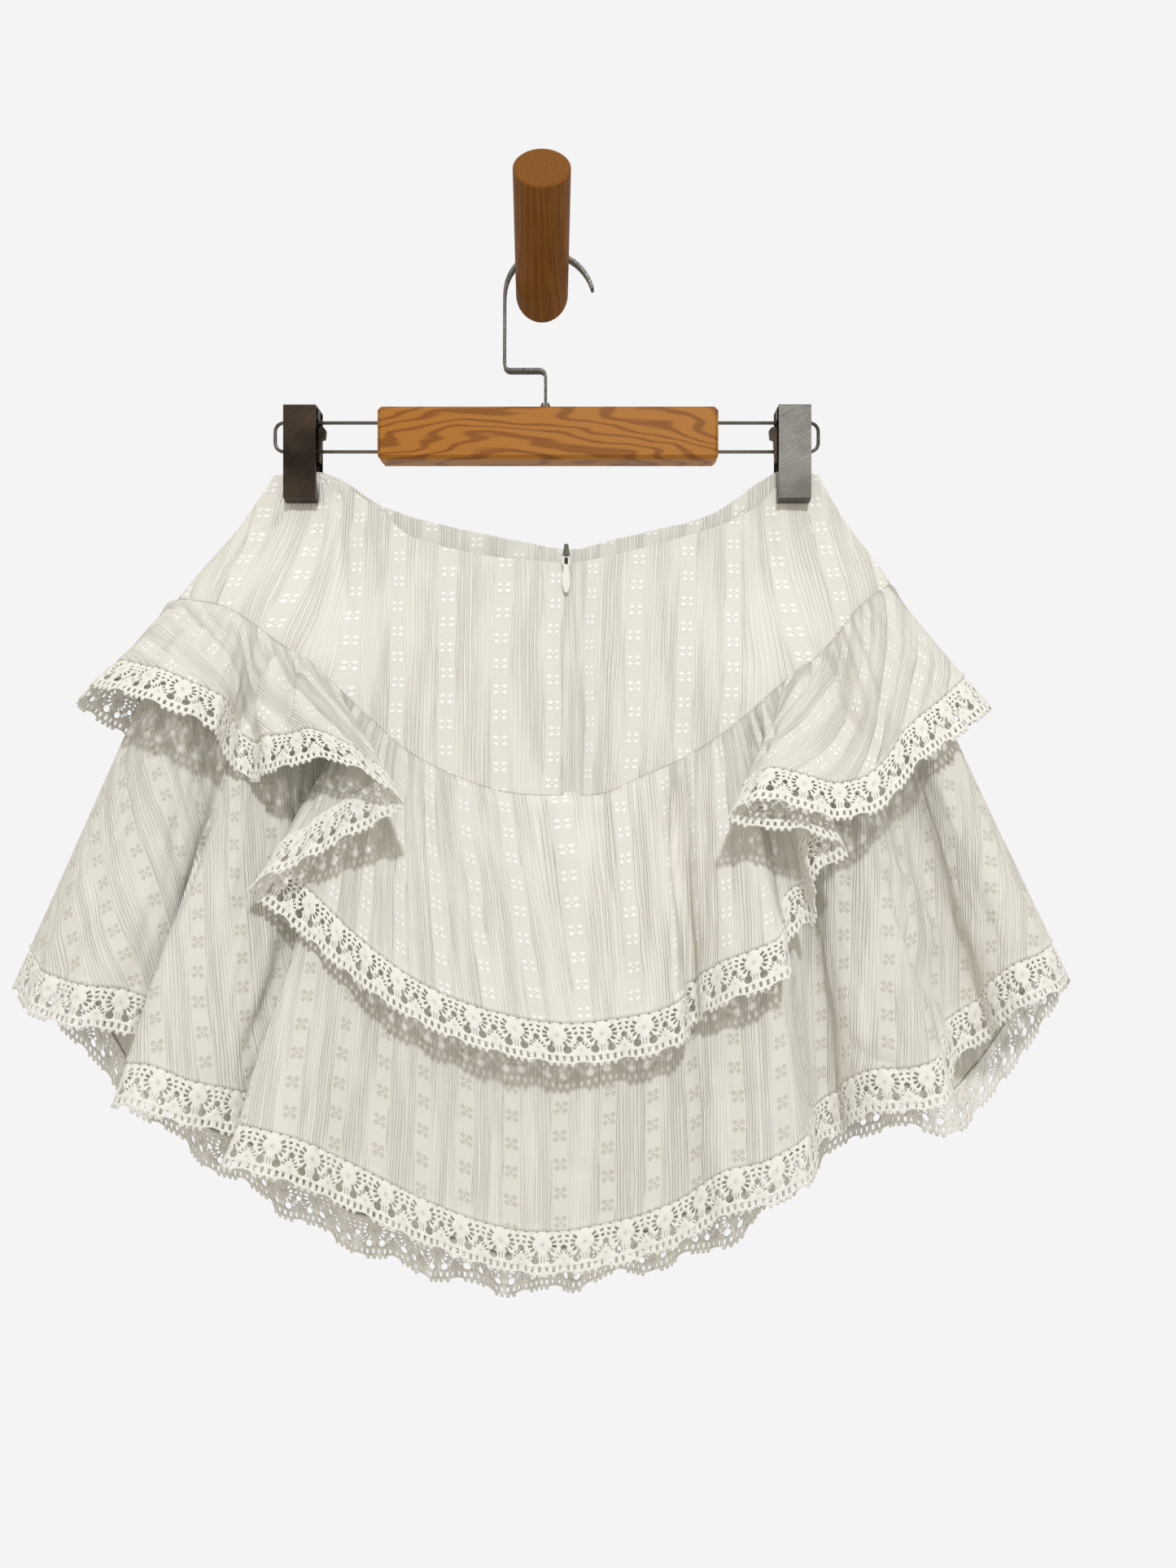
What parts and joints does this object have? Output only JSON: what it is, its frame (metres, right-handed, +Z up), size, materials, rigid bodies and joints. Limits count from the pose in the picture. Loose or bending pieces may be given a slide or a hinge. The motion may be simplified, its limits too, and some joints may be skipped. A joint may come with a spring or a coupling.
{
  "type": "mini skirt on a clip hanger, hung on a wooden wall peg",
  "caption": "Back of a crinkled cotton mini skirt with a fitted yoke, gathered flounces edged in lace and a back zip, held flat by a clip hanger that hangs from a leaning wooden wall peg.",
  "frame": {"origin": "middle of the peg's flat face on the wall", "axes": "+X to the right as the viewer sees the skirt's back, +Y into the wall, +Z up"},
  "size_m": [0.6202, 0.1151, 0.6752],
  "materials": {
    "cotton": "ivory crinkled cotton with woven stripes, matte",
    "lace": "ivory cotton lace, matte",
    "varnished_wood": "honey varnish, satin",
    "peg_wood": "brown, oiled",
    "steel": "satin",
    "clip_steel": "polished, finely scratched",
    "pull_plastic": "ivory enamel"
  },
  "bodies": {
    "root": {"yoke_back_left": "cotton", "yoke_back_right": "cotton", "yoke_front": "cotton", "upper_flounce_back": "cotton", "upper_flounce_front": "cotton", "upper_lace_back": "lace", "upper_lace_front": "lace", "lower_flounce_back": "cotton", "lower_flounce_front": "cotton", "lower_lace_back": "lace", "lower_lace_front": "lace", "zip_tape": "cotton", "zip_slider": "steel", "hanger_bar": "varnished_wood", "rail_left": "steel", "rail_right": "steel", "clip_left": "clip_steel", "clip_right": "clip_steel", "lever_left": "steel", "lever_right": "steel", "hanger_hook": "steel", "ferrule_left": "steel", "ferrule_right": "steel", "wall_peg": "peg_wood"},
    "pull": {"zip_pull": "pull_plastic"}
  },
  "joints": [
    {"name": "zip_pull_hinge", "type": "hinge", "parent": "root", "child": "pull", "pos_m": [0.016, -0.0314, -0.1736], "axis": [-1, 0, 0], "range_deg": [0, 150]}
  ]
}
